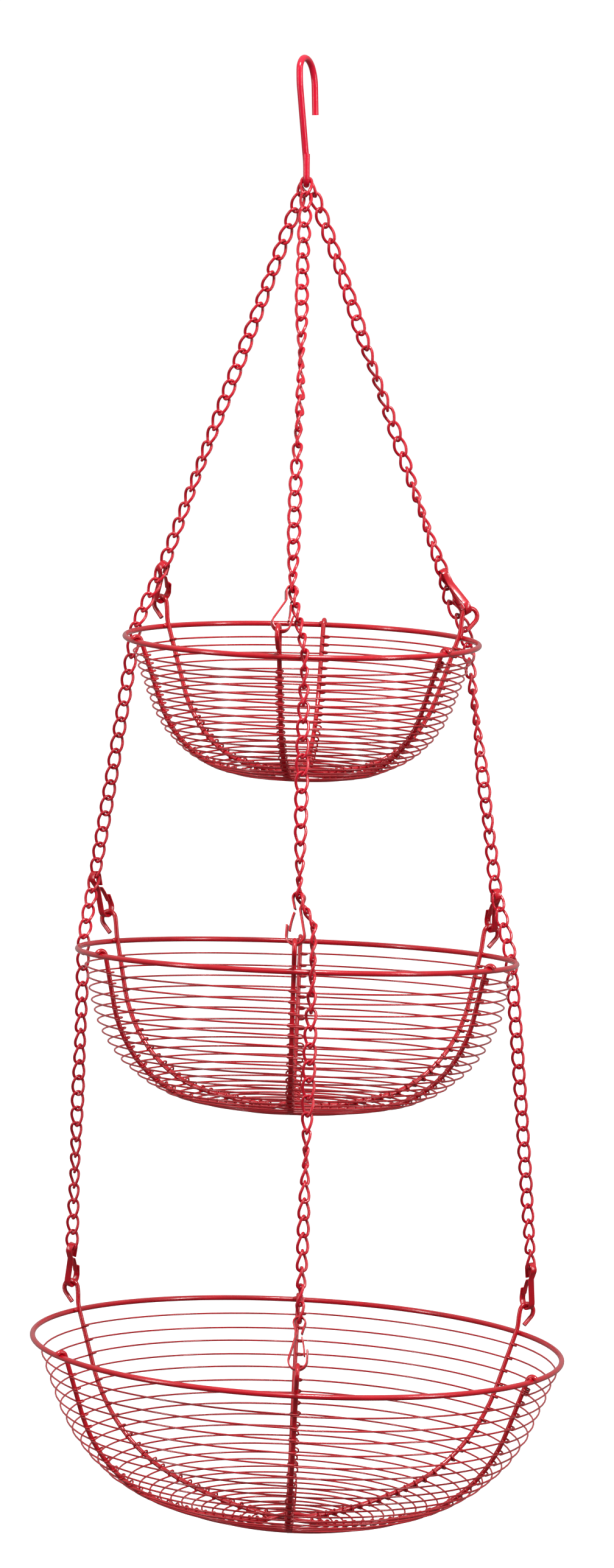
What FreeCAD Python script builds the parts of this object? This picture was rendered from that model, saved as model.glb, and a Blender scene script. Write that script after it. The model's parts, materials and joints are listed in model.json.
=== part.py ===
import FreeCAD, Part
import math
import os

# Three-tier hanging wire basket: a bent ceiling hook, three twist-link chains, and three round
# wire bowls hung from the chains by flat spring clips.
# Frame: millimetres, +Z up, X to the right, -Y to the front. The origin is in the hook's crook,
# level with the highest point of its inside, and straight over the hook's eye and the load.

V = FreeCAD.Vector
X_AXIS = V(1, 0, 0)
Y_AXIS = V(0, 1, 0)
Z_AXIS = V(0, 0, 1)

doc = FreeCAD.newDocument("produce_basket")
sheet = doc.addObject("Spreadsheet::Sheet", "dims")

DIMENSIONS = {
    # wires and strip
    "hook_wire_radius": 1.8,
    "rim_wire_radius": 1.5,
    "rib_wire_radius": 1.3,
    "fine_wire_radius": 0.4,
    "chain_wire_radius": 0.7,
    "clip_strip_width": 2.3,
    "clip_strip_thickness": 1.1,
    "joint_gap": 0.35,
    "weld_gap": 0.02,
    # ceiling hook
    "crook_turn": 65.0,
    "crook_crest_shift": -3.2,
    "crook_back_radius": 6.7,
    "crook_reach": 13.0,
    "crook_drop": 14.5,
    "crook_tip_flare": 4.0,
    "crook_tip_length": 15.5,
    "hook_eye_radius": 4.8,
    "hook_eye_drop": 66.5,
    "hook_return_length": 11.5,
    "hook_bend_length": 5.0,
    # chain
    "link_pitch": 9.25,
    "link_half_width": 3.15,
    "link_leg_slope": 0.45,
    "link_slack": 0.35,
    "chain_clearance": 5.2,
    "aside_links": 2.0,
    # spring clips
    "clip_top_radius": 3.4,
    "clip_neck_half": 1.7,
    "clip_neck_drop": 9.2,
    "clip_bottom_radius": 5.2,
    "clip_reach": 26.3,
    "clip_seat": 1.8,
    "foot_slack": 0.8,
    "clip_hook_rise": 6.0,
    "clip_gate_overlap": 3.5,
    "clip_gate_bow": 0.2,
    # rib eye above the rim
    "eye_radius": 4.5,
    "eye_height": 12.4,
    "eye_reach": 6.6,
    "eye_end_reach": 5.4,
    "eye_end_height": 4.6,
    "rib_end_turn": 150.0,
    "cross_half_span": 17.0,
    "cross_step": 2.75,
    # small bowl
    "small_rim_radius": 97.4,
    "small_drop": 315.55,
    "small_shift": 0.0,
    "small_roll": 1.19,
    "small_pitch": 2.99,
    "small_yaw": -7.28,
    "small_wall_lean": 20.0,
    "small_wall_run": 36.0,
    "small_shoulder_radius": 59.0,
    "small_floor_radius": 290.0,
    "small_turns": 26.0,
    # middle bowl
    "middle_rim_radius": 121.4,
    "middle_drop": 490.28,
    "middle_shift": -1.15,
    "middle_roll": 1.63,
    "middle_pitch": -2.37,
    "middle_yaw": -0.87,
    "middle_wall_lean": 13.0,
    "middle_wall_run": 27.0,
    "middle_shoulder_radius": 70.0,
    "middle_floor_radius": 320.0,
    "middle_turns": 26.0,
    # large bowl
    "large_rim_radius": 147.24,
    "large_drop": 708.27,
    "large_shift": 0.75,
    "large_roll": 2.45,
    "large_pitch": -0.87,
    "large_yaw": -0.21,
    "large_wall_lean": 20.0,
    "large_wall_run": 32.0,
    "large_shoulder_radius": 90.0,
    "large_floor_radius": 230.0,
    "large_turns": 27.0,
}
for row, (alias, value) in enumerate(DIMENSIONS.items(), start=1):
    sheet.set("A%d" % row, alias)
    sheet.set("B%d" % row, str(value))
    sheet.setAlias("B%d" % row, alias)
doc.recompute()


def dim(alias):
    """One driving dimension, read from the sheet."""
    return float(sheet.get(alias))


SIZES = ("small", "middle", "large")
SIDES = ("left", "right", "front")
RIB_AZIMUTH = {"left": -120.0, "right": 120.0, "front": 0.0}
nodes = []


def keep(obj, label):
    """Name a finished sub-part and list it for export."""
    obj.Label = label
    nodes.append(obj)
    return obj


# ------------------------------------------------------------------------- paths and round wire

def tangent_arcs(start, start_dir, end, end_dir):
    """Two equal-reach arcs that join two points smoothly, each point with its direction."""
    chord = end - start
    a = 2 * (1 - start_dir.dot(end_dir))
    b = 2 * chord.dot(start_dir + end_dir)
    c = -chord.dot(chord)
    if abs(a) < 1e-9:
        reach = -c / b
    else:
        reach = (-b + math.sqrt(b * b - 4 * a * c)) / (2 * a)
    joint = (start + start_dir * reach + end - end_dir * reach) * 0.5
    edges = []
    for place, direction, far in ((start, start_dir, joint), (end, end_dir * -1, joint)):
        step = far - place
        normal = step - direction * step.dot(direction)
        if normal.Length < 1e-7:
            edge = Part.LineSegment(place, far)
        else:
            radius = step.dot(step) / (2 * normal.Length)
            centre = place + normal.normalize() * radius
            middle = centre + ((place + far) * 0.5 - centre).normalize() * radius
            edge = Part.Arc(place, middle, far)
        edges.append(edge)
    far_arc = edges[1]
    far_arc.reverse()
    return [edges[0].toShape(), far_arc.toShape()]


def round_wire(name, path, radius_alias, placement=None):
    """A round wire swept along a path, its thickness bound to the sheet."""
    spine = doc.addObject("Part::Feature", name + "_path")
    spine.Shape = path
    first = path.OrderedEdges[0]
    start = path.OrderedVertexes[0].Point
    at_start = first.valueAt(first.FirstParameter).distanceToPoint(start) < 1e-6
    parameter = first.FirstParameter if at_start else first.LastParameter
    section = doc.addObject("Part::Circle", name + "_section")
    section.setExpression("Radius", "dims." + radius_alias)
    section.Placement = FreeCAD.Placement(start, FreeCAD.Rotation(Z_AXIS, first.tangentAt(parameter)))
    sweep = doc.addObject("Part::Sweep", name)
    sweep.Sections = [section]
    sweep.Spine = (spine, ["Edge%d" % (n + 1) for n in range(len(path.Edges))])
    sweep.Solid = True
    sweep.Frenet = False
    if placement is not None:
        sweep.Placement = placement
    return sweep


# ---------------------------------------------------------------------------------- ceiling hook

def make_hook():
    """One bent wire: tip, crook, leaning shank, and an eye whose free end comes back up in front."""
    turn = math.radians(dim("crook_turn"))
    flare = math.radians(dim("crook_tip_flare"))
    across = V(math.cos(turn), math.sin(turn), 0)
    crest = across * dim("crook_crest_shift") + V(0, 0, dim("hook_wire_radius"))
    tip_top = crest + across * dim("crook_reach") - V(0, 0, dim("crook_drop"))
    tip_dir = across * math.sin(flare) - V(0, 0, math.cos(flare))
    radius = dim("crook_back_radius")
    back_centre = crest - V(0, 0, radius)
    back_middle = back_centre + (Z_AXIS - across).normalize() * radius
    shank_top = back_centre - across * radius
    eye_radius = dim("hook_eye_radius")
    eye_centre = V(0, 0, eye_radius - dim("hook_eye_drop"))
    shank_foot = eye_centre + V(0, eye_radius, 0)
    bend = dim("hook_bend_length")
    lean = (shank_foot - shank_top).normalize()
    lean_start = shank_top + V(0, 0, -bend) + lean * bend
    lean_end = shank_foot + V(0, 0, bend) - lean * bend
    lean = (lean_end - lean_start).normalize()
    tip_end = tip_top + tip_dir * dim("crook_tip_length")
    edges = [Part.LineSegment(tip_end, tip_top).toShape()]
    edges += tangent_arcs(tip_top, tip_dir * -1, crest, across * -1)
    edges.append(Part.Arc(crest, back_middle, shank_top).toShape())
    edges += tangent_arcs(shank_top, V(0, 0, -1), lean_start, lean)
    edges.append(Part.LineSegment(lean_start, lean_end).toShape())
    edges += tangent_arcs(lean_end, lean, shank_foot, V(0, 0, -1))
    eye_foot = eye_centre - V(0, 0, eye_radius)
    return_start = eye_centre - V(0, eye_radius, 0)
    edges.append(Part.Arc(shank_foot, eye_foot, return_start).toShape())
    edges.append(Part.LineSegment(return_start,
                                  return_start + V(0, 0, dim("hook_return_length"))).toShape())
    hook = round_wire("ceiling_hook", Part.Wire(edges), "hook_wire_radius")
    keep(hook, "ceiling_hook")


# ---------------------------------------------------------------------------------------- bowls

def bowl_placement(size):
    tilt = (FreeCAD.Rotation(Y_AXIS, dim(size + "_roll"))
            * FreeCAD.Rotation(X_AXIS, dim(size + "_pitch"))
            * FreeCAD.Rotation(Z_AXIS, dim(size + "_yaw")))
    return FreeCAD.Placement(V(dim(size + "_shift"), 0, -dim(size + "_drop")), tilt)


def rib_radius_at_rim(size):
    """Distance from the bowl's axis to a rib that leans against the inside of the rim."""
    lean = math.radians(dim(size + "_wall_lean"))
    return dim(size + "_rim_radius") - rib_to_rim() / math.cos(lean)


def rib_to_rim():
    """Distance between the centrelines of the rim wire and a rib welded to it."""
    return dim("rim_wire_radius") + dim("rib_wire_radius") + dim("weld_gap")


def bowl_angles(size):
    """Heading of the wall and the floor angle where the shoulder arc meets the floor arc."""
    lean = math.radians(dim(size + "_wall_lean"))
    shoulder = dim(size + "_shoulder_radius")
    floor = dim(size + "_floor_radius")
    across = rib_radius_at_rim(size) - dim(size + "_wall_run") * math.sin(lean)
    across -= shoulder * math.cos(lean)
    return lean, math.asin(across / (floor - shoulder))


def bowl_depth(size):
    lean, floor_angle = bowl_angles(size)
    shoulder = dim(size + "_shoulder_radius")
    floor = dim(size + "_floor_radius")
    return (floor * (1 - math.cos(floor_angle))
            + shoulder * (math.cos(floor_angle) - math.sin(lean))
            + dim(size + "_wall_run") * math.cos(lean))


def rib_outline(size, level):
    """A rib in its own upright plane, from the eye's cut end to the far end over the rim.

    Level 0 runs under the other two at the middle of the floor, and 1 and 2 step over it.
    """
    lean, floor_angle = bowl_angles(size)
    at_rim = rib_radius_at_rim(size)
    eye_radius = dim("eye_radius")
    eye_centre = V(at_rim + dim("eye_reach"), 0, dim("eye_height"))
    cut_end = V(at_rim + dim("eye_end_reach"), 0, dim("eye_end_height"))
    rim_point = V(at_rim, 0, 0)

    def tangent_point(place, side):
        """Where the line from a point touches the eye's circle."""
        reach = place - eye_centre
        spread = math.acos(eye_radius / reach.Length)
        turned = math.atan2(reach.z, reach.x) + side * spread
        return eye_centre + V(eye_radius * math.cos(turned), 0, eye_radius * math.sin(turned))

    eye_start = tangent_point(cut_end, 1)
    neck_end = rim_point + V(math.sin(lean), 0, math.cos(lean)) * 1.0
    eye_end = tangent_point(neck_end + V(0, 0, 3.0), -1)
    top = eye_centre + V(0.3, 0, 1.0).normalize() * eye_radius
    edges = [Part.LineSegment(cut_end, eye_start).toShape(),
             Part.Arc(eye_start, top, eye_end).toShape()]
    down = (eye_end - eye_centre).normalize()
    heading = V(down.z, 0, -down.x)
    if heading.z > 0:
        heading = heading * -1
    wall = V(-math.sin(lean), 0, -math.cos(lean))
    edges += tangent_arcs(eye_end, heading, neck_end, wall)
    shoulder = dim(size + "_shoulder_radius")
    floor = dim(size + "_floor_radius")
    wall_end = rim_point + wall * dim(size + "_wall_run")
    shoulder_centre = wall_end + V(-math.cos(lean), 0, math.sin(lean)) * shoulder
    floor_centre = V(0, 0, floor - bowl_depth(size))

    def on_shoulder(angle):
        return shoulder_centre + V(math.sin(angle), 0, -math.cos(angle)) * shoulder

    def on_floor(angle):
        return floor_centre + V(math.sin(angle), 0, -math.cos(angle)) * floor

    def mirrored(point):
        return V(-point.x, 0, point.z)

    span_angle = math.asin(dim("cross_half_span") / floor)
    wall_angle = math.pi / 2 - lean
    shoulder_mid = on_shoulder((wall_angle + floor_angle) / 2)
    floor_mid = on_floor((floor_angle + span_angle) / 2)
    span_end = on_floor(span_angle)
    edges.append(Part.LineSegment(neck_end, wall_end).toShape())
    edges.append(Part.Arc(wall_end, shoulder_mid, on_shoulder(floor_angle)).toShape())
    edges.append(Part.Arc(on_floor(floor_angle), floor_mid, span_end).toShape())
    if level == 0:
        edges.append(Part.Arc(span_end, on_floor(0), mirrored(span_end)).toShape())
    else:
        crest = on_floor(0) + V(0, 0, level * dim("cross_step"))
        inward = V(-math.cos(span_angle), 0, -math.sin(span_angle))
        edges += tangent_arcs(span_end, inward, crest, V(-1, 0, 0))
        outward = V(-math.cos(span_angle), 0, math.sin(span_angle))
        edges += tangent_arcs(crest, V(-1, 0, 0), mirrored(span_end), outward)
    edges.append(Part.Arc(mirrored(span_end), mirrored(floor_mid),
                          mirrored(on_floor(floor_angle))).toShape())
    edges.append(Part.Arc(mirrored(on_floor(floor_angle)), mirrored(shoulder_mid),
                          mirrored(wall_end)).toShape())
    rim_centre = V(-dim(size + "_rim_radius"), 0, 0)
    turn = math.radians(dim("rib_end_turn"))

    def on_curl(angle):
        return rim_centre + V(math.cos(angle), 0, math.sin(angle)) * rib_to_rim()

    edges.append(Part.LineSegment(mirrored(wall_end), on_curl(lean)).toShape())
    edges.append(Part.Arc(on_curl(lean), on_curl((lean + turn) / 2), on_curl(turn)).toShape())
    return Part.Wire(edges)


def profile_point(size, run):
    """Point and outward direction of the bowl's rib line, a run below the rim along the wire."""
    lean, floor_angle = bowl_angles(size)
    wall_run = dim(size + "_wall_run")
    shoulder = dim(size + "_shoulder_radius")
    floor = dim(size + "_floor_radius")
    at_rim = rib_radius_at_rim(size)
    wall_end = V(at_rim - wall_run * math.sin(lean), 0, -wall_run * math.cos(lean))
    wall_angle = math.pi / 2 - lean
    shoulder_run = shoulder * (wall_angle - floor_angle)
    if run <= wall_run:
        angle = wall_angle
        point = V(at_rim - run * math.sin(lean), 0, -run * math.cos(lean))
    elif run <= wall_run + shoulder_run:
        angle = wall_angle - (run - wall_run) / shoulder
        centre = wall_end + V(-math.cos(lean), 0, math.sin(lean)) * shoulder
        point = centre + V(math.sin(angle), 0, -math.cos(angle)) * shoulder
    else:
        angle = floor_angle - (run - wall_run - shoulder_run) / floor
        centre = V(0, 0, floor - bowl_depth(size))
        point = centre + V(math.sin(angle), 0, -math.cos(angle)) * floor
    return point, V(math.sin(angle), 0, -math.cos(angle))


def profile_length(size):
    lean, floor_angle = bowl_angles(size)
    return (dim(size + "_wall_run")
            + dim(size + "_shoulder_radius") * (math.pi / 2 - lean - floor_angle)
            + dim(size + "_floor_radius") * floor_angle)


def make_bowl(size):
    """Rim ring, three ribs that cross on the floor, and the fine wire's turns round them."""
    placement = bowl_placement(size)
    rim = doc.addObject("Part::Torus", size + "_rim")
    rim.setExpression("Radius1", "dims." + size + "_rim_radius")
    rim.setExpression("Radius2", "dims.rim_wire_radius")
    rim.Placement = placement
    keep(rim, size + "_rim")
    for level, side in enumerate(SIDES):
        spin = FreeCAD.Rotation(Z_AXIS, RIB_AZIMUTH[side] - 90)
        rib_place = placement * FreeCAD.Placement(V(0, 0, 0), spin)
        rib = round_wire("%s_rib_%s" % (size, side), rib_outline(size, level),
                         "rib_wire_radius", rib_place)
        keep(rib, "%s_rib_%s" % (size, side))
    turns = int(dim(size + "_turns"))
    first_run = 4.5
    last_run = profile_length(size) - 14.0
    offset = dim("rib_wire_radius") + dim("fine_wire_radius") + dim("weld_gap")
    rings = []
    for turn in range(turns):
        run = first_run + (last_run - first_run) * turn / (turns - 1)
        point, outward = profile_point(size, run)
        centreline = point + outward * offset
        section = doc.addObject("Part::RegularPolygon", "%s_section_%d" % (size, turn + 1))
        section.Polygon = 8
        section.setExpression("Circumradius", "dims.fine_wire_radius")
        section.Placement = FreeCAD.Placement(centreline, FreeCAD.Rotation(X_AXIS, 90))
        ring = doc.addObject("Part::Revolution", "%s_turn_%d" % (size, turn + 1))
        ring.Source = section
        ring.Axis = Z_AXIS
        ring.Angle = 360.0
        ring.Solid = True
        rings.append(ring)
    wrap = doc.addObject("Part::Compound", size + "_fine_wire")
    wrap.Links = rings
    wrap.Placement = placement
    keep(wrap, size + "_fine_wire")


# ---------------------------------------------------------------------------------------- chain

def link_half_length():
    """From a link's middle to the centreline of its end bend."""
    return (dim("link_pitch") + 2 * dim("chain_wire_radius") + dim("link_slack")) / 2


def half_link_path():
    """Half of a link's centreline: an end bend, a bowed leg and the other end bend.

    The two ends of a link are turned a quarter apart, so that each end bend crosses the next
    link's squarely and a straight chain lies flat.
    """
    top = V(0, 0, link_half_length())
    middle = V(dim("link_half_width"), 0, 0)
    over = V(1, 1, 0).normalize()
    along_leg = V(0, -dim("link_leg_slope"), -1).normalize()
    back = V(-1, 1, 0).normalize()
    edges = tangent_arcs(top, over, middle, along_leg)
    edges += tangent_arcs(middle, along_leg, top * -1, back)
    return Part.Wire(edges)


def make_link_pattern():
    """The one link that every chain repeats, centred on the origin, long way up."""
    half = round_wire("half_link", half_link_path(), "chain_wire_radius")
    other = doc.addObject("Part::Compound", "other_half_link")
    other.Links = [half]
    other.Placement = FreeCAD.Placement(V(0, 0, 0), FreeCAD.Rotation(Z_AXIS, 180))
    link = doc.addObject("Part::Fuse", "link_pattern")
    link.Base = half
    link.Tool = other
    doc.recompute()
    return link.Shape.Solids[0]


def rim_spot(size, azimuth, radius, height):
    """A point near a bowl, in its own frame: azimuth (0 is the front), radius, height over rim."""
    turned = math.radians(azimuth)
    spot = V(radius * math.sin(turned), -radius * math.cos(turned), height)
    return bowl_placement(size).multVec(spot)


# Which way each clip leans, from its foot in the rib's eye up to the chain.
CLIP_LEANS = {
    "small": {"left": V(1.2, -17.3, 19.8), "right": V(-13.7, 5.0, 21.0), "front": V(6.9, 14.5, 20.5)},
    "middle": {"left": V(-7.6, -10.0, 23.0), "right": V(2.5, -14.0, 21.5), "front": V(2.0, 9.0, 24.0)},
    "large": {"left": V(0.3, -12.0, 23.3), "right": V(2.0, -8.5, 24.5), "front": V(1.0, 12.0, 23.3)},
}
# Azimuth, in a bowl's own frame, at which each chain passes outside the rim on its way down.
PASS_AZIMUTHS = {
    "small": {"left": -107.7, "right": 124.3, "front": 8.1},
    "middle": {"left": -107.6, "right": 109.4, "front": 4.5},
}
# How far a chain steps aside, along the rim, to hang clear of the clip that it carries.
ASIDES = {
    "small": {"left": 0.0, "right": 5.0, "front": 0.0},
    "middle": {"left": 0.0, "right": 0.0, "front": 5.0},
}
# How far each chain is turned about its own line, at the hook and then at every corner.
LINK_TURNS = {
    "left": (0.0, -30.0, -30.0, -30.0, -10.0, 0.0),
    "right": (-28.0, 30.0, 20.0, 15.0, 15.0, 60.0),
    "front": (-25.0, -75.0, -75.0, -90.0, -90.0, -70.0),
}
# Where each first link hangs round the hook's eye, and which way its top leans.
HOOK_SEATS = {"left": 60.0, "right": 5.0, "front": -60.0}
FIRST_LEANS = {"left": V(0.5, -0.12, 0.87), "right": V(-0.62, -0.12, 0.79), "front": V(0, 0.39, 0.92)}
# Direction that each clip's flat outline faces, turned about the clip from X.
CLIP_TURNS = {
    "small": {"left": -45.0, "right": 15.0, "front": -75.0},
    "middle": {"left": -30.0, "right": 22.0, "front": 75.0},
    "large": {"left": -30.0, "right": 30.0, "front": -95.0},
}
# Links are spaced a little under the pitch, because a whole number of them fills each run.
MEAN_SPACING = 0.97


def clip_ends(size, side):
    """The two ends of a clip's pull: its top loop on the chain, and its foot in the rib's eye.

    The foot lies against the inside of the eye, on the side that the clip pulls towards.
    """
    spin = FreeCAD.Rotation(Z_AXIS, RIB_AZIMUTH[side] - 90)
    place = bowl_placement(size) * FreeCAD.Placement(V(0, 0, 0), spin)
    centre = place.multVec(V(rib_radius_at_rim(size) + dim("eye_reach"), 0, dim("eye_height")))
    across = place.Rotation.multVec(Y_AXIS)
    lean = V(CLIP_LEANS[size][side]).normalize()
    in_plane = (lean - across * lean.dot(across)).normalize()
    inside = dim("eye_radius") - dim("rib_wire_radius") - dim("foot_slack")
    foot = centre + in_plane * inside
    return foot + lean * dim("clip_reach"), foot


def clip_top(size, side):
    return clip_ends(size, side)[0]


def across_chain(down, turn):
    """Rotation of something on a chain: long way along the chain, turned about it from X."""
    up = down * -1
    base = (X_AXIS - up * up.dot(X_AXIS)).normalize()
    side = up.cross(base)
    turned = math.radians(turn)
    x_dir = base * math.cos(turned) + side * math.sin(turned)
    return FreeCAD.Rotation(x_dir, up.cross(x_dir), up, "ZXY")


def first_link(side):
    """Top and bottom ends of a chain's first link, that hangs over the wire of the hook's eye.

    The three links lean apart more than the chains below them, because the eye crowds them.
    """
    angle = math.radians(HOOK_SEATS[side])
    eye_radius = dim("hook_eye_radius")
    wire = V(0, eye_radius * math.sin(angle),
             eye_radius * (1 - math.cos(angle)) - dim("hook_eye_drop"))
    along = V(0, math.cos(angle), math.sin(angle))
    up = V(FIRST_LEANS[side]).normalize()
    over = (up - along * up.dot(along)).normalize()
    crown = wire + over * (dim("hook_wire_radius") + dim("joint_gap") + dim("chain_wire_radius"))
    spacing = dim("link_pitch") * MEAN_SPACING
    top = crown - up * (link_half_length() - spacing / 2)
    return top, top - up * spacing


def step_aside(size, side, top, corner):
    """Where a chain that steps aside is, a few links below the clip's top."""
    tangent = rim_spot(size, PASS_AZIMUTHS[size][side] + 90, 1.0, 0.0) - rim_spot(size, 0, 0, 0)
    length = dim("aside_links") * dim("link_pitch") * MEAN_SPACING
    straight = (corner - top).normalize() * length
    return top + (straight + tangent * ASIDES[size][side]).normalize() * length


def rim_pass(size, side, above, below):
    """The corner where a chain passes a rim, with whole numbers of equal links above and below.

    Its height over the rim is found by halving, so that both runs have the same link spacing.
    """
    radius = dim(size + "_rim_radius") + dim("chain_clearance")
    azimuth = PASS_AZIMUTHS[size][side]
    level = rim_spot(size, azimuth, radius, 0.0)
    over = (level - above).Length
    under = (below - level).Length
    total = math.ceil((over + under) / dim("link_pitch"))
    count = math.floor(total * over / (over + under))
    low, high = -2.0, 14.0
    for _ in range(40):
        height = (low + high) / 2
        corner = rim_spot(size, azimuth, radius, height)
        if (corner - above).Length / count < (below - corner).Length / (total - count):
            high = height
        else:
            low = height
    return corner, count, total - count


def chain_runs(side):
    """The chain's straight runs from the hook down: stretch, ends, number of links and twist."""
    tops = [clip_top(size, side) for size in SIZES]
    turns = LINK_TURNS[side]
    hook_end, start = first_link(side)
    count = math.ceil((tops[0] - start).Length / dim("link_pitch"))
    runs = [("first", hook_end, start, 1, turns[0], turns[0]),
            ("upper", start, tops[0], count, turns[0], turns[1])]
    for index, (size, over_name, under_name) in enumerate((("small", "upper", "middle"),
                                                           ("middle", "pass", "lower"))):
        above = tops[index]
        below = tops[index + 1]
        turn = turns[2 * index + 1]
        if ASIDES[size][side]:
            corner = rim_pass(size, side, above, below)[0]
            aside = step_aside(size, side, above, corner)
            runs.append((over_name, above, aside, int(dim("aside_links")), turn, turn))
            above = aside
        corner, over, under = rim_pass(size, side, above, below)
        runs.append((over_name, above, corner, over, turn, turns[2 * index + 2]))
        runs.append((under_name, corner, below, under, turns[2 * index + 2], turns[2 * index + 3]))
    return runs


def chain_places(side):
    """Placement of every link of a chain, grouped by stretch.

    The first link below a rim's corner still belongs with the links above it, so that each
    stretch is free to swing from just under a rim.
    """
    places = {"first": [], "upper": [], "middle": [], "pass": [], "lower": []}
    held_by = {"middle": "upper", "lower": "pass"}
    for name, start, end, count, first_turn, last_turn in chain_runs(side):
        down = (end - start).normalize()
        pitch = (end - start).Length / count
        for number in range(count):
            turn = first_turn + (last_turn - first_turn) * (number + 0.5) / count
            centre = start + down * ((number + 0.5) * pitch)
            stretch = held_by.get(name, name) if number == 0 else name
            places[stretch].append(FreeCAD.Placement(centre, across_chain(down, turn)))
    return places


def copies(link, places):
    shapes = []
    for place in places:
        shape = link.copy()
        shape.Placement = place * link.Placement
        shapes.append(shape)
    return Part.makeCompound(shapes)


def make_chains():
    """The three first links, that hang in the hook's eye, and the rest of each chain."""
    link = make_link_pattern()
    firsts = []
    for side in SIDES:
        stretches = chain_places(side)
        firsts += stretches.pop("first")
        for name, places in stretches.items():
            stretch = doc.addObject("Part::Feature", "%s_chain_%s" % (side, name))
            stretch.Shape = copies(link, places)
            keep(stretch, "%s_chain_%s" % (side, name))
    group = doc.addObject("Part::Feature", "first_links")
    group.Shape = copies(link, firsts)
    keep(group, "first_links")


# ---------------------------------------------------------------------------------------- clips

def strip(name, path):
    """A flat strip that follows a path in the XZ plane, as wide along Y as the sheet says."""
    spine = doc.addObject("Part::Feature", name + "_path")
    spine.Shape = path
    outline = doc.addObject("Part::Offset2D", name + "_outline")
    outline.Source = spine
    outline.setExpression("Value", "dims.clip_strip_thickness / 2")
    outline.Mode = "Skin"
    outline.Join = "Arc"
    outline.Fill = True
    solid = doc.addObject("Part::Extrusion", name)
    solid.Base = outline
    solid.DirMode = "Custom"
    solid.Dir = Y_AXIS
    solid.setExpression("LengthFwd", "dims.clip_strip_width")
    solid.Solid = True
    solid.Symmetric = True
    return solid


def clip_frame_path():
    """The bottle outline: hook end, foot, back leg, neck and top loop."""
    half = dim("clip_strip_thickness") / 2
    top_radius = dim("clip_top_radius")
    foot_radius = dim("clip_bottom_radius")
    top_centre = V(0, 0, half - top_radius)
    foot_centre = V(0, 0, -dim("clip_reach") - dim("clip_seat") - half + foot_radius)
    neck = V(dim("clip_neck_half"), 0, -dim("clip_neck_drop"))
    other_neck = V(-neck.x, 0, neck.z)

    def touch(place, centre, radius, side):
        """Where the line from a point touches a circle, on its right (1) or left (-1) side."""
        reach = place - centre
        spread = math.acos(radius / reach.Length) * side
        angle = math.atan2(reach.z, reach.x) + spread
        return centre + V(radius * math.cos(angle), 0, radius * math.sin(angle))

    leg_foot = touch(neck, foot_centre, foot_radius, -1)
    loop_right = touch(neck, top_centre, top_radius, 1)
    loop_left = V(-loop_right.x, 0, loop_right.z)
    hook_foot = foot_centre - V(foot_radius, 0, 0)
    edges = [Part.LineSegment(hook_foot + V(0, 0, dim("clip_hook_rise")), hook_foot).toShape(),
             Part.Arc(hook_foot, foot_centre - V(0, 0, foot_radius), leg_foot).toShape(),
             Part.LineSegment(leg_foot, neck).toShape(),
             Part.LineSegment(neck, loop_right).toShape(),
             Part.Arc(loop_right, top_centre + V(0, 0, top_radius), loop_left).toShape(),
             Part.LineSegment(loop_left, other_neck).toShape()]
    return Part.Wire(edges), hook_foot, other_neck


def make_clips():
    """Nine clips: each a fixed frame and the springy gate that closes it."""
    frame_path, hook_foot, neck = clip_frame_path()
    thickness = dim("clip_strip_thickness")
    gate_end = hook_foot + V(thickness + dim("joint_gap"), 0,
                             dim("clip_hook_rise") - dim("clip_gate_overlap"))
    run = (gate_end - neck).normalize()
    gate_start = neck + run * (thickness + dim("joint_gap"))
    bowed = (gate_start + gate_end) * 0.5 + V(run.z, 0, -run.x) * dim("clip_gate_bow")
    frame = strip("clip_frame_pattern", frame_path)
    gate = strip("clip_gate_pattern", Part.Wire([Part.Arc(gate_start, bowed, gate_end).toShape()]))
    for side in SIDES:
        for size in SIZES:
            top, foot = clip_ends(size, side)
            down = (foot - top).normalize()
            turn = across_chain(down, CLIP_TURNS[size][side] - 90)
            place = FreeCAD.Placement(top - down * dim("clip_seat"), turn)
            for pattern, piece in ((frame, "frame"), (gate, "gate")):
                label = "%s_clip_%s_%s" % (size, side, piece)
                copy = doc.addObject("Part::Compound", label)
                copy.Links = [pattern]
                copy.Placement = place
                keep(copy, label)


make_hook()
for bowl in SIZES:
    make_bowl(bowl)
make_chains()
make_clips()
doc.recompute()

for obj in doc.Objects:
    if "Invalid" in obj.State or "Error" in obj.State:
        raise RuntimeError("%s did not recompute: %s" % (obj.Label, obj.State))
for node in nodes:
    if node.Shape.isNull() or not node.Shape.isValid():
        raise RuntimeError("%s has no valid shape" % node.Label)

os.makedirs("parts", exist_ok=True)
for node in nodes:
    node.Shape.exportStep(os.path.join("parts", node.Label + ".step"))
print("%d nodes written" % len(nodes))
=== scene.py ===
"""A three-tier hanging wire basket in red enamel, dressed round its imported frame."""
import json
import math
import random

import bmesh
import bpy
import numpy as np
from mathutils import Matrix, Vector


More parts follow.
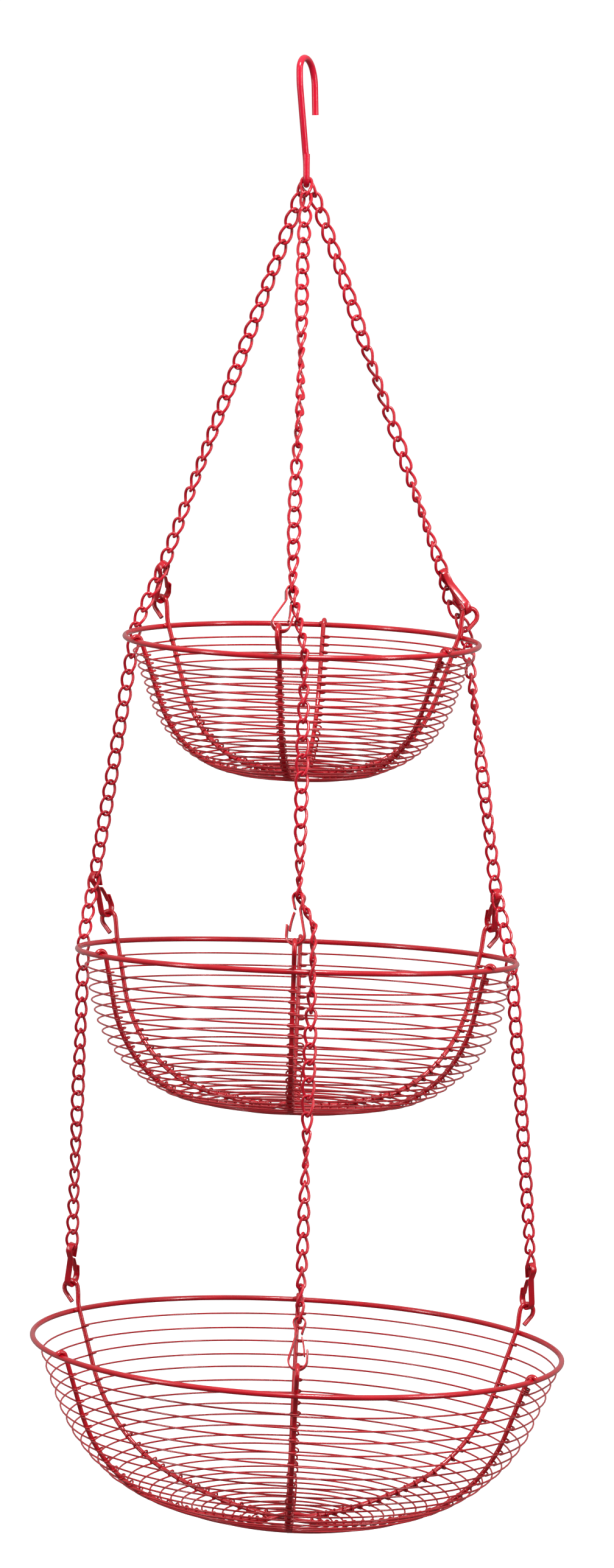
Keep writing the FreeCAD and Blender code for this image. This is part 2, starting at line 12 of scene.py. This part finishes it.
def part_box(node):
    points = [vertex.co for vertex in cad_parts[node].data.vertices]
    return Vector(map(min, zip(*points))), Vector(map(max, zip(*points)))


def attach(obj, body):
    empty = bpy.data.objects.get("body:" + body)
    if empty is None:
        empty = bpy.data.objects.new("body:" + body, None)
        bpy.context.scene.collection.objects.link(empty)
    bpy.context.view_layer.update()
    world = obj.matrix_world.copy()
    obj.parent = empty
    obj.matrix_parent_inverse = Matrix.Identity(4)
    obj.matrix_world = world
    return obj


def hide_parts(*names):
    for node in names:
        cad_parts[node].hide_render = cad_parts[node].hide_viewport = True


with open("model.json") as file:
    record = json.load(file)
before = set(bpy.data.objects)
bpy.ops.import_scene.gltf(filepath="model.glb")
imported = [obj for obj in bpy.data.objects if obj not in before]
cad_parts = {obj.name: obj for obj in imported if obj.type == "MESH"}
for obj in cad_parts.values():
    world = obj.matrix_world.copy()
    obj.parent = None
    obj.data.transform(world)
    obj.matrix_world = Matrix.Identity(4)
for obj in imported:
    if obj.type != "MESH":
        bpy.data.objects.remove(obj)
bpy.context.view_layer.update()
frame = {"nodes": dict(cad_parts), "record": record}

MM = 0.001
SIZES = ("small", "middle", "large")
SIDES = ("left", "right", "front")
TIERS = {"small": "upper_tier", "middle": "middle_tier", "large": "lower_tier"}

# The camera stands in front, a little above the middle of the basket, and looks slightly down.
CAMERA_PLACE = Vector((0.0, -2.5, -0.2095))
CAMERA_AIM = Vector((0.0, 0.0, -0.395))
CAMERA_LENS = 104.3
CAMERA_SENSOR = 36.0
CAMERA_ROLL = 0.523
CAMERA_SHIFT_X = 0.0039

FLOOR_HEIGHT = -1.35
FLOOR_HALF = 40.0

# Fine wire
FINE_RADIUS = 0.52 * MM
FINE_SIDES = 8
RIB_OFFSET = 1.75 * MM
WRAP_STEPS = 14
SPAN_STEPS = 14
WRAP_ADVANCE = 0.95 * MM
STARTING_WRAPS = 3
# How many turns further down the wall the wire gets half-way, as a share of the turns.
OPENER_AT_RIM = {"small": 0.0, "middle": 0.1, "large": 0.22}
# Each round of the ribs is a little different, within these limits.
WRAP_SLACK = 0.9 * MM
SLACK_SHARES = (0.35, 1.25)
CROSSING_SHIFTS = (-0.05, 0.05)
SAGS = (-0.5, 0.2)
DROOPS = (-0.35, 0.35)
FIRST_SEED = 11

# Chain and clips
CHAIN_GROWTH = 0.12 * MM
CLIP_GROWTH = 0.2 * MM
CLIP_WIDENING = 1.63
CLIP_EDGE = 0.32 * MM
CLIP_FLAT_ANGLE = math.radians(1.5)
CLIP_SHARP_ANGLE = math.radians(50)

# How far each length of chain twists about itself between its ends: degrees, and half waves.
TWISTS = {
    "left_chain_upper": (35.0, 2), "right_chain_upper": (60.0, 3), "front_chain_upper": (60.0, 3),
    "left_chain_middle": (45.0, 1), "right_chain_middle": (60.0, 2), "front_chain_middle": (75.0, 1),
    "left_chain_lower": (50.0, 2), "right_chain_lower": (-50.0, 1), "front_chain_lower": (70.0, 2),
}
FEWEST_LINKS_TO_TWIST = 7

# Welds
WELD_RADIUS = 1.15 * MM
WELD_ALONG = 1.7
WELD_UP = 1.25
WELD_SEARCH = 9 * MM


# ------------------------------------------------------------------------------------ materials

def node(tree, kind, **inputs):
    """A shader node with its inputs set. An underscore in a name stands for a space."""
    made = tree.nodes.new(kind)
    for name, value in inputs.items():
        made.inputs[name.replace("_", " ")].default_value = value
    return made


def enamel(name, deep, bright, patch, peel, roughness, seed):
    """Glossy red enamel: colour that pools darker in patches, and a fine orange-peel surface."""
    material = bpy.data.materials.new(name)
    material.use_nodes = True
    tree = material.node_tree
    shader = tree.nodes["Principled BSDF"]
    place = tree.nodes.new("ShaderNodeTexCoord")
    shifted = tree.nodes.new("ShaderNodeMapping")
    shifted.inputs["Location"].default_value = (seed, 2 * seed, 3 * seed)
    tree.links.new(place.outputs["Object"], shifted.inputs["Vector"])

    patches = node(tree, "ShaderNodeTexNoise", Scale=patch, Detail=4.0, Roughness=0.6)
    tree.links.new(shifted.outputs["Vector"], patches.inputs["Vector"])
    colours = tree.nodes.new("ShaderNodeValToRGB")
    colours.color_ramp.elements[0].position = 0.3
    colours.color_ramp.elements[0].color = (*deep, 1)
    colours.color_ramp.elements[1].position = 0.68
    colours.color_ramp.elements[1].color = (*bright, 1)
    tree.links.new(patches.outputs["Fac"], colours.inputs["Fac"])
    tree.links.new(colours.outputs["Color"], shader.inputs["Base Color"])

    grain = node(tree, "ShaderNodeTexNoise", Scale=peel, Detail=2.0, Roughness=0.5)
    tree.links.new(shifted.outputs["Vector"], grain.inputs["Vector"])
    bump = node(tree, "ShaderNodeBump", Strength=0.06, Distance=0.00012)
    tree.links.new(grain.outputs["Fac"], bump.inputs["Height"])
    tree.links.new(bump.outputs["Normal"], shader.inputs["Normal"])

    spread = tree.nodes.new("ShaderNodeMapRange")
    spread.inputs["To Min"].default_value = roughness * 0.8
    spread.inputs["To Max"].default_value = roughness * 1.35
    tree.links.new(patches.outputs["Fac"], spread.inputs["Value"])
    tree.links.new(spread.outputs["Result"], shader.inputs["Roughness"])

    shader.inputs["Metallic"].default_value = 0.0
    shader.inputs["Specular IOR Level"].default_value = 0.5
    shader.inputs["Coat Weight"].default_value = 0.35
    shader.inputs["Coat Roughness"].default_value = 0.07
    shader.inputs["Coat IOR"].default_value = 1.5
    return material


def make_materials():
    return {
        "bowl": enamel("bowl_enamel", (0.41, 0.002, 0.009), (0.53, 0.003, 0.014),
                       55.0, 900.0, 0.21, 0.0),
        "fine": enamel("fine_wire_enamel", (0.38, 0.004, 0.009), (0.51, 0.007, 0.016),
                       70.0, 1500.0, 0.28, 1.7),
        "chain": enamel("chain_enamel", (0.45, 0.002, 0.012), (0.58, 0.003, 0.021),
                        130.0, 1400.0, 0.23, 3.1),
        "clip": enamel("clip_enamel", (0.43, 0.002, 0.010), (0.55, 0.004, 0.018),
                       90.0, 1100.0, 0.22, 4.3),
        # The hook's enamel is painted brighter than the rest of the basket: painted light, as if the
        # hook were lit more from above.
        "hook": enamel("hook_enamel", (0.56, 0.003, 0.022), (0.68, 0.006, 0.036),
                       60.0, 1000.0, 0.18, 5.9),
    }


def material_for(name, materials):
    """The enamel of a node of the frame."""
    if name == "ceiling_hook":
        return materials["hook"]
    if "chain" in name or name == "first_links":
        return materials["chain"]
    if "clip" in name:
        return materials["clip"]
    if name.endswith("fine_wire"):
        return materials["fine"]
    return materials["bowl"]


def dress_frame(materials):
    """Every part of the frame gets its enamel."""
    for name, obj in frame["nodes"].items():
        obj.data.materials.clear()
        obj.data.materials.append(material_for(name, materials))


# ------------------------------------------------------------------------------- bowl measuring

def points_of(name):
    """The points of a node's mesh, one to a row."""
    mesh = frame["nodes"][name].data
    flat = np.zeros(len(mesh.vertices) * 3)
    mesh.vertices.foreach_get("co", flat)
    return flat.reshape(-1, 3)


def loose_rings(name):
    """The separate closed rings of a node, each as an array of its points."""
    mesh = frame["nodes"][name].data
    parent = list(range(len(mesh.vertices)))

    def root(item):
        while parent[item] != item:
            parent[item] = parent[parent[item]]
            item = parent[item]
        return item

    for edge in mesh.edges:
        first, second = root(edge.vertices[0]), root(edge.vertices[1])
        if first != second:
            parent[first] = second
    points = points_of(name)
    merged = {}
    for index, point in enumerate(points):
        merged.setdefault(tuple(np.round(point, 6)), []).append(root(index))
    for group in merged.values():
        for other in group[1:]:
            first, second = root(group[0]), root(other)
            if first != second:
                parent[first] = second
    rings = {}
    for index in range(len(points)):
        rings.setdefault(root(index), []).append(index)
    return [points[members] for members in rings.values()]


class Bowl:
    """Where one bowl's rim, ribs and turns of fine wire lie, read from the frame."""

    def __init__(self, size):
        self.size = size
        rim = points_of(size + "_rim")
        spread = np.linalg.svd(rim - rim.mean(0), full_matrices=False)[2]
        self.up = spread[2] * np.sign(spread[2][2])
        self.centre = rim.mean(0)
        right = np.cross(np.array((0.0, 1.0, 0.0)), self.up)
        self.right = right / np.linalg.norm(right)
        self.front = np.cross(self.right, self.up)
        turns = []
        for ring in loose_rings(size + "_fine_wire"):
            offset = ring.mean(0) - self.centre
            height = float(offset @ self.up)
            flat = ring - ring.mean(0)
            flat = flat - np.outer(flat @ self.up, self.up)
            reach = np.linalg.norm(flat, axis=1)
            turns.append((height, float((reach.min() + reach.max()) / 2)))
        turns.sort(reverse=True)
        self.heights = np.array([turn[0] for turn in turns])
        self.radii = np.array([turn[1] for turn in turns])
        self.count = len(turns)
        flat = rim - self.centre
        flat = flat - np.outer(flat @ self.up, self.up)
        reach = np.linalg.norm(flat, axis=1)
        self.rim_radius = float((reach.min() + reach.max()) / 2)
        ends = [self.side_azimuth(side) for side in SIDES]
        self.azimuths = sorted((end + half) % (2 * math.pi) for end in ends for half in (0, math.pi))

    def side_azimuth(self, side):
        """Azimuth of the end of a rib that rises over the rim into an eye."""
        rib = points_of("%s_rib_%s" % (self.size, side)) - self.centre
        flat = np.stack((rib @ self.right, rib @ self.front), axis=1)
        far = flat[np.argmax(np.linalg.norm(flat, axis=1))]
        return math.atan2(far[0], far[1])

    def profile(self, turn):
        """Radius and height of the fine wire at a turn, which need not be whole.

        The wire is wound more openly near the rim than on the floor of the bowl.
        """
        whole = np.arange(self.count)
        share = turn / (self.count - 1)
        turn += OPENER_AT_RIM[self.size] * share * (1 - share) * (self.count - 1)
        return float(np.interp(turn, whole, self.radii)), float(np.interp(turn, whole, self.heights))

    def outward(self, turn):
        """Direction out of the bowl's wall at a turn, as its radial and its upward part."""
        low = self.profile(max(turn - 0.5, 0.0))
        high = self.profile(min(turn + 0.5, self.count - 1.0))
        run = np.array((high[0] - low[0], high[1] - low[1]))
        run = run / np.linalg.norm(run)
        return np.array((-run[1], run[0]))

    def place(self, azimuth, radius, height):
        """The point at an azimuth from the front, a radius, and a height over the rim's centre."""
        flat = self.right * math.sin(azimuth) + self.front * math.cos(azimuth)
        return self.centre + flat * radius + self.up * height


# ----------------------------------------------------------------------------------- fine wire

def spiral_points(bowl, seed):
    """The whole course of a bowl's fine wire: round the bowl, and once round each rib it meets."""
    chance = random.Random(seed)
    points = []
    turn = 0.0
    crossing = 0
    spans = len(bowl.azimuths)
    last = bowl.count - 1.0
    spacing = np.linalg.norm(np.diff(np.stack((bowl.radii, bowl.heights), axis=1), axis=0), axis=1)
    advance = WRAP_ADVANCE / float(spacing.mean())
    azimuth = bowl.azimuths[0]
    while turn < last:
        wraps = STARTING_WRAPS if crossing == 0 else 1
        slack = WRAP_SLACK * chance.uniform(*SLACK_SHARES)
        for step in range(WRAP_STEPS * wraps):
            around = 2 * math.pi * step / WRAP_STEPS
            here = turn + advance * step / WRAP_STEPS
            radius, height = bowl.profile(here)
            out = bowl.outward(here)
            loose = max(0.0, -math.sin(around)) ** 1.5 * slack
            reach = RIB_OFFSET + loose
            along_out = reach * math.cos(around) - RIB_OFFSET
            sideways = reach * math.sin(around)
            spot = bowl.place(azimuth, radius + out[0] * along_out, height + out[1] * along_out)
            flat = bowl.right * math.cos(azimuth) - bowl.front * math.sin(azimuth)
            points.append(spot + flat * sideways)
        turn += advance * wraps
        goal = (crossing + 1) / spans + chance.uniform(*CROSSING_SHIFTS)
        following = bowl.azimuths[(crossing + 1) % spans]
        sweep = (following - azimuth) % (2 * math.pi)
        sag = chance.uniform(*SAGS) * MM
        droop = chance.uniform(*DROOPS) * MM
        for step in range(1, SPAN_STEPS):
            share = step / SPAN_STEPS
            radius, height = bowl.profile(min(turn + (goal - turn) * share, last))
            swell = math.sin(math.pi * share)
            points.append(bowl.place(azimuth + sweep * share, radius + sag * swell,
                                     height + droop * swell))
        turn = goal
        azimuth = following
        crossing += 1
    return np.array(points)


def tube(name, path, radius, sides, material):
    """A round tube along a path, with flat ends."""
    steps = np.diff(path, axis=0)
    lengths = np.linalg.norm(steps, axis=1)
    keep = np.concatenate(([True], lengths > 1e-6))
    path = path[keep]
    ahead = np.gradient(path, axis=0)
    ahead = ahead / np.linalg.norm(ahead, axis=1)[:, None]
    side = np.cross(ahead[0], (0.0, 0.0, 1.0))
    side = side / np.linalg.norm(side)
    rings = []
    for index, point in enumerate(path):
        side = side - ahead[index] * (side @ ahead[index])
        side = side / np.linalg.norm(side)
        other = np.cross(ahead[index], side)
        for corner in range(sides):
            angle = 2 * math.pi * corner / sides
            rings.append(point + (side * math.cos(angle) + other * math.sin(angle)) * radius)
    faces = []
    for index in range(len(path) - 1):
        for corner in range(sides):
            near = index * sides
            far = near + sides
            after = (corner + 1) % sides
            faces.append((near + corner, near + after, far + after, far + corner))
    faces.append(tuple(range(sides))[::-1])
    final = (len(path) - 1) * sides
    faces.append(tuple(range(final, final + sides)))
    mesh = bpy.data.meshes.new(name)
    mesh.from_pydata([tuple(point) for point in rings], [], faces)
    mesh.polygons.foreach_set("use_smooth", [True] * len(mesh.polygons))
    mesh.materials.append(material)
    mesh.update()
    obj = bpy.data.objects.new(name, mesh)
    bpy.context.scene.collection.objects.link(obj)
    return obj


def wind_fine_wire(bowl, materials, seed):
    """The wound wire, in place of the frame's closed rings."""
    wire = tube(bowl.size + "_wound_wire", spiral_points(bowl, seed), FINE_RADIUS, FINE_SIDES,
                materials["fine"])
    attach(wire, TIERS[bowl.size])
    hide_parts(bowl.size + "_fine_wire")


# ---------------------------------------------------------------------------------------- welds

def nearest_pair(first, second):
    """The closest two points of two point clouds."""
    gaps = np.linalg.norm(first[:, None, :] - second[None, :, :], axis=2)
    row, column = np.unravel_index(np.argmin(gaps), gaps.shape)
    return first[row], second[column]


def weld_ribs(bowl, materials):
    """A smooth bead of weld, under the enamel, where each end of each rib meets the rim."""
    rim = points_of(bowl.size + "_rim")
    shape = bmesh.new()
    for side in SIDES:
        rib = points_of("%s_rib_%s" % (bowl.size, side))
        for half in (0, math.pi):
            azimuth = bowl.side_azimuth(side) + half
            spot = bowl.place(azimuth, bowl.rim_radius, 0.0)
            close_rib = rib[np.linalg.norm(rib - spot, axis=1) < WELD_SEARCH]
            close_rim = rim[np.linalg.norm(rim - spot, axis=1) < WELD_SEARCH]
            if not len(close_rib) or not len(close_rim):
                continue
            on_rib, on_rim = nearest_pair(close_rib, close_rim)
            along = bowl.place(azimuth + math.pi / 2, 1.0, 0.0) - bowl.centre
            across = np.cross(along, bowl.up)
            sides = np.stack((along * WELD_ALONG, bowl.up * WELD_UP, across), axis=1)
            turn = Matrix(sides.tolist()).to_4x4()
            middle = Matrix.Translation(Vector((on_rib + on_rim) / 2))
            bmesh.ops.create_uvsphere(shape, u_segments=16, v_segments=10, radius=WELD_RADIUS,
                                      matrix=middle @ turn)
    for face in shape.faces:
        face.smooth = True
    mesh = bpy.data.meshes.new(bowl.size + "_welds")
    shape.to_mesh(mesh)
    shape.free()
    mesh.materials.append(materials["bowl"])
    beads = bpy.data.objects.new(bowl.size + "_welds", mesh)
    bpy.context.scene.collection.objects.link(beads)
    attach(beads, TIERS[bowl.size])


# ------------------------------------------------------------------------------ chain and clips

def joined_mesh(name):
    """A node's points with the seams between its faces closed, and its triangles."""
    mesh = frame["nodes"][name].data
    mesh.calc_loop_triangles()
    corners = np.zeros(len(mesh.loop_triangles) * 3, dtype=np.int32)
    mesh.loop_triangles.foreach_get("vertices", corners)
    points, lookup = np.unique(np.round(points_of(name), 6), axis=0, return_inverse=True)
    triangles = lookup.ravel()[corners].reshape(-1, 3)
    whole = ((triangles[:, 0] != triangles[:, 1]) & (triangles[:, 1] != triangles[:, 2])
             & (triangles[:, 2] != triangles[:, 0]))
    return points, triangles[whole]


def point_normals(points, triangles):
    """The outward direction at every point, from the triangles round it."""
    first, second, third = (points[triangles[:, column]] for column in range(3))
    faces = np.cross(second - first, third - first)
    normals = np.zeros_like(points)
    for column in range(3):
        np.add.at(normals, triangles[:, column], faces)
    return normals / np.maximum(np.linalg.norm(normals, axis=1), 1e-15)[:, None]


def body_of(name):
    """The moving body that a node belongs to."""
    for body, members in frame["record"]["behaviour"]["bodies"].items():
        if name in members:
            return body
    raise KeyError(name)


def stand_in(name, label, points, triangles, material):
    """A visible piece that takes the place of one node and moves with the node's body."""
    mesh = bpy.data.meshes.new(label)
    mesh.from_pydata([tuple(point) for point in points], [],
                     [tuple(triangle) for triangle in triangles])
    mesh.materials.append(material)
    mesh.update()
    obj = bpy.data.objects.new(label, mesh)
    bpy.context.scene.collection.objects.link(obj)
    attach(obj, body_of(name))
    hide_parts(name)
    return obj


def separate_links(points, triangles):
    """For every point, the number of the link it is on, counted from the top of the chain."""
    label = np.arange(len(points))
    while True:
        lowest = label[triangles].min(axis=1)
        joined = label.copy()
        for column in range(3):
            np.minimum.at(joined, triangles[:, column], lowest)
        joined = joined[joined]
        if (joined == label).all():
            break
        label = joined
    _, number = np.unique(label, return_inverse=True)
    number = number.ravel()
    heights = [points[number == link][:, 2].mean() for link in range(number.max() + 1)]
    order = np.empty(len(heights), dtype=int)
    order[np.argsort(heights)[::-1]] = np.arange(len(heights))
    return order[number]


def twist_links(name, points, number):
    """Turns each link about its own length, so that the chain twists gently between its ends."""
    most, half_waves = TWISTS[name]
    count = int(number.max()) + 1
    ends = [0, count - 1]
    if name.endswith("upper"):
        clip_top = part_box("small_clip_%s_frame" % name.split("_")[0])[1][2]
        heights = [points[number == link][:, 2].mean() for link in range(count)]
        ends.insert(1, int(np.argmin(np.abs(np.array(heights) - clip_top))))
    for first, last in zip(ends, ends[1:]):
        if last - first < FEWEST_LINKS_TO_TWIST:
            continue
        for link in range(first + 1, last):
            share = (link - first) / (last - first)
            angle = math.radians(most) * math.sin(math.pi * half_waves * share)
            on_link = number == link
            middle = (points[on_link].min(0) + points[on_link].max(0)) / 2
            around = np.linalg.svd(points[on_link] - middle, full_matrices=False)[2][0]
            around = around * np.sign(around[2])
            turn = np.array(Matrix.Rotation(angle, 3, Vector(around)))
            points[on_link] = (points[on_link] - middle) @ turn.T + middle
    return points


def thicken_chain(name, materials):
    """The enamel's own thickness over the links' wire, and the twist that a hung chain keeps."""
    points, triangles = joined_mesh(name)
    points = points + point_normals(points, triangles) * CHAIN_GROWTH
    if name in TWISTS:
        points = twist_links(name, points, separate_links(points, triangles))
    link = stand_in(name, name + "_coated", points, triangles, materials["chain"])
    link.data.polygons.foreach_set("use_smooth", [True] * len(link.data.polygons))


def widen_clip(name, materials):
    """A clip's strip at its full width, with its edges rounded."""
    points, triangles = joined_mesh(name)
    middle = points.mean(0)
    across = np.linalg.svd(points - middle, full_matrices=False)[2][2]
    normals = point_normals(points, triangles)
    flat = normals - np.outer(normals @ across, across)
    flat = flat / np.maximum(np.linalg.norm(flat, axis=1), 1e-9)[:, None]
    offset = (points - middle) @ across
    points = points + flat * CLIP_GROWTH + np.outer(offset * (CLIP_WIDENING - 1), across)
    strip = stand_in(name, name + "_rounded", points, triangles, materials["clip"])
    shape = bmesh.new()
    shape.from_mesh(strip.data)
    bmesh.ops.dissolve_limit(shape, angle_limit=CLIP_FLAT_ANGLE, verts=shape.verts,
                             edges=shape.edges)
    sharp = [edge for edge in shape.edges
             if len(edge.link_faces) == 2 and edge.calc_face_angle() > CLIP_SHARP_ANGLE]
    bmesh.ops.bevel(shape, geom=sharp, offset=CLIP_EDGE, segments=3, profile=0.5,
                    affect="EDGES", clamp_overlap=True)
    for face in shape.faces:
        face.smooth = True
    shape.to_mesh(strip.data)
    shape.free()


# ---------------------------------------------------------------------------------------- stage

def make_floor():
    """A pale floor, far below, that doesn't colour the basket."""
    mesh = bpy.data.meshes.new("studio_floor")
    corners = [(x * FLOOR_HALF, y * FLOOR_HALF, FLOOR_HEIGHT)
               for x, y in ((-1, -1), (1, -1), (1, 1), (-1, 1))]
    mesh.from_pydata(corners, [], [(0, 1, 2, 3)])
    floor = bpy.data.objects.new("studio_floor", mesh)
    bpy.context.scene.collection.objects.link(floor)
    material = bpy.data.materials.new("pale_floor")
    material.use_nodes = True
    tree = material.node_tree
    shader = tree.nodes["Principled BSDF"]
    speck = node(tree, "ShaderNodeTexNoise", Scale=3.0, Detail=2.0)
    shade = tree.nodes.new("ShaderNodeValToRGB")
    shade.color_ramp.elements[0].color = (0.90, 0.90, 0.90, 1)
    shade.color_ramp.elements[1].color = (0.94, 0.94, 0.94, 1)
    tree.links.new(speck.outputs["Fac"], shade.inputs["Fac"])
    tree.links.new(shade.outputs["Color"], shader.inputs["Base Color"])
    shader.inputs["Roughness"].default_value = 0.9
    shader.inputs["Emission Color"].default_value = (1, 1, 1, 1)
    shader.inputs["Emission Strength"].default_value = 0.75
    mesh.materials.append(material)
    floor.visible_diffuse = False
    floor.visible_glossy = False


def make_world():
    """White to the camera. On the basket: bright above and behind, dim in front and below."""
    world = bpy.data.worlds.new("studio")
    world.use_nodes = True
    tree = world.node_tree
    tree.nodes.clear()
    seen = node(tree, "ShaderNodeBackground", Color=(1, 1, 1, 1), Strength=1.05)
    light = node(tree, "ShaderNodeBackground", Strength=0.7)
    place = tree.nodes.new("ShaderNodeTexCoord")
    split = tree.nodes.new("ShaderNodeSeparateXYZ")
    tree.links.new(place.outputs["Generated"], split.inputs["Vector"])
    above = tree.nodes.new("ShaderNodeMapRange")
    above.inputs["From Min"].default_value = -0.05
    above.inputs["From Max"].default_value = 0.85
    tree.links.new(split.outputs["Z"], above.inputs["Value"])
    behind = tree.nodes.new("ShaderNodeMapRange")
    behind.inputs["From Min"].default_value = -0.25
    behind.inputs["From Max"].default_value = 0.35
    behind.inputs["To Max"].default_value = 0.4
    tree.links.new(split.outputs["Y"], behind.inputs["Value"])
    rise = tree.nodes.new("ShaderNodeMapRange")
    rise.inputs["From Min"].default_value = -0.55
    rise.inputs["From Max"].default_value = -0.1
    tree.links.new(split.outputs["Z"], rise.inputs["Value"])
    backdrop = tree.nodes.new("ShaderNodeMath")
    backdrop.operation = "MULTIPLY"
    tree.links.new(behind.outputs["Result"], backdrop.inputs[0])
    tree.links.new(rise.outputs["Result"], backdrop.inputs[1])
    brighter = tree.nodes.new("ShaderNodeMath")
    brighter.operation = "MAXIMUM"
    tree.links.new(above.outputs["Result"], brighter.inputs[0])
    tree.links.new(backdrop.outputs["Value"], brighter.inputs[1])
    level = tree.nodes.new("ShaderNodeMapRange")
    level.inputs["To Min"].default_value = 0.16
    level.inputs["To Max"].default_value = 1.0
    tree.links.new(brighter.outputs["Value"], level.inputs["Value"])
    tree.links.new(level.outputs["Result"], light.inputs["Color"])
    path = tree.nodes.new("ShaderNodeLightPath")
    mix = tree.nodes.new("ShaderNodeMixShader")
    tree.links.new(path.outputs["Is Camera Ray"], mix.inputs["Fac"])
    tree.links.new(light.outputs["Background"], mix.inputs[1])
    tree.links.new(seen.outputs["Background"], mix.inputs[2])
    out = tree.nodes.new("ShaderNodeOutputWorld")
    tree.links.new(mix.outputs["Shader"], out.inputs["Surface"])
    bpy.context.scene.world = world


def area_light(name, place, aim, size, power):
    """A soft rectangular lamp at a place, turned to what it lights."""
    data = bpy.data.lights.new(name, "AREA")
    data.shape = "RECTANGLE"
    data.size, data.size_y = size
    data.energy = power
    lamp = bpy.data.objects.new(name, data)
    lamp.location = place
    lamp.rotation_euler = (Vector(aim) - Vector(place)).to_track_quat("-Z", "Y").to_euler()
    bpy.context.scene.collection.objects.link(lamp)


def make_lights():
    """A key light over the front, and a tall strip on each side for the lines down the wires."""
    middle = (0, 0, -0.42)
    area_light("key_over_front", (0.25, -1.3, 1.15), middle, (0.5, 0.4), 40)
    area_light("strip_left", (-1.6, -0.9, -0.2), middle, (0.18, 1.5), 12)
    area_light("strip_right", (1.6, -1.0, -0.1), middle, (0.18, 1.5), 15)


def make_camera():
    """The scene's camera, at the photograph's angle."""
    data = bpy.data.cameras.new("camera")
    data.lens = CAMERA_LENS
    data.sensor_width = CAMERA_SENSOR
    data.shift_x = CAMERA_SHIFT_X
    camera = bpy.data.objects.new("camera", data)
    aim = (CAMERA_AIM - CAMERA_PLACE).to_track_quat("-Z", "Y").to_matrix().to_4x4()
    roll = Matrix.Rotation(math.radians(CAMERA_ROLL), 4, "Z")
    camera.matrix_world = Matrix.Translation(CAMERA_PLACE) @ aim @ roll
    bpy.context.scene.collection.objects.link(camera)
    bpy.context.scene.camera = camera


make_camera()
make_floor()
make_world()
make_lights()
materials = make_materials()
dress_frame(materials)
for number, size in enumerate(SIZES):
    bowl = Bowl(size)
    wind_fine_wire(bowl, materials, FIRST_SEED + number)
    weld_ribs(bowl, materials)
for name in list(frame["nodes"]):
    if "_clip_" in name:
        widen_clip(name, materials)
    elif "_chain_" in name or name == "first_links":
        thicken_chain(name, materials)

bpy.context.scene.view_settings.view_transform = "Standard"
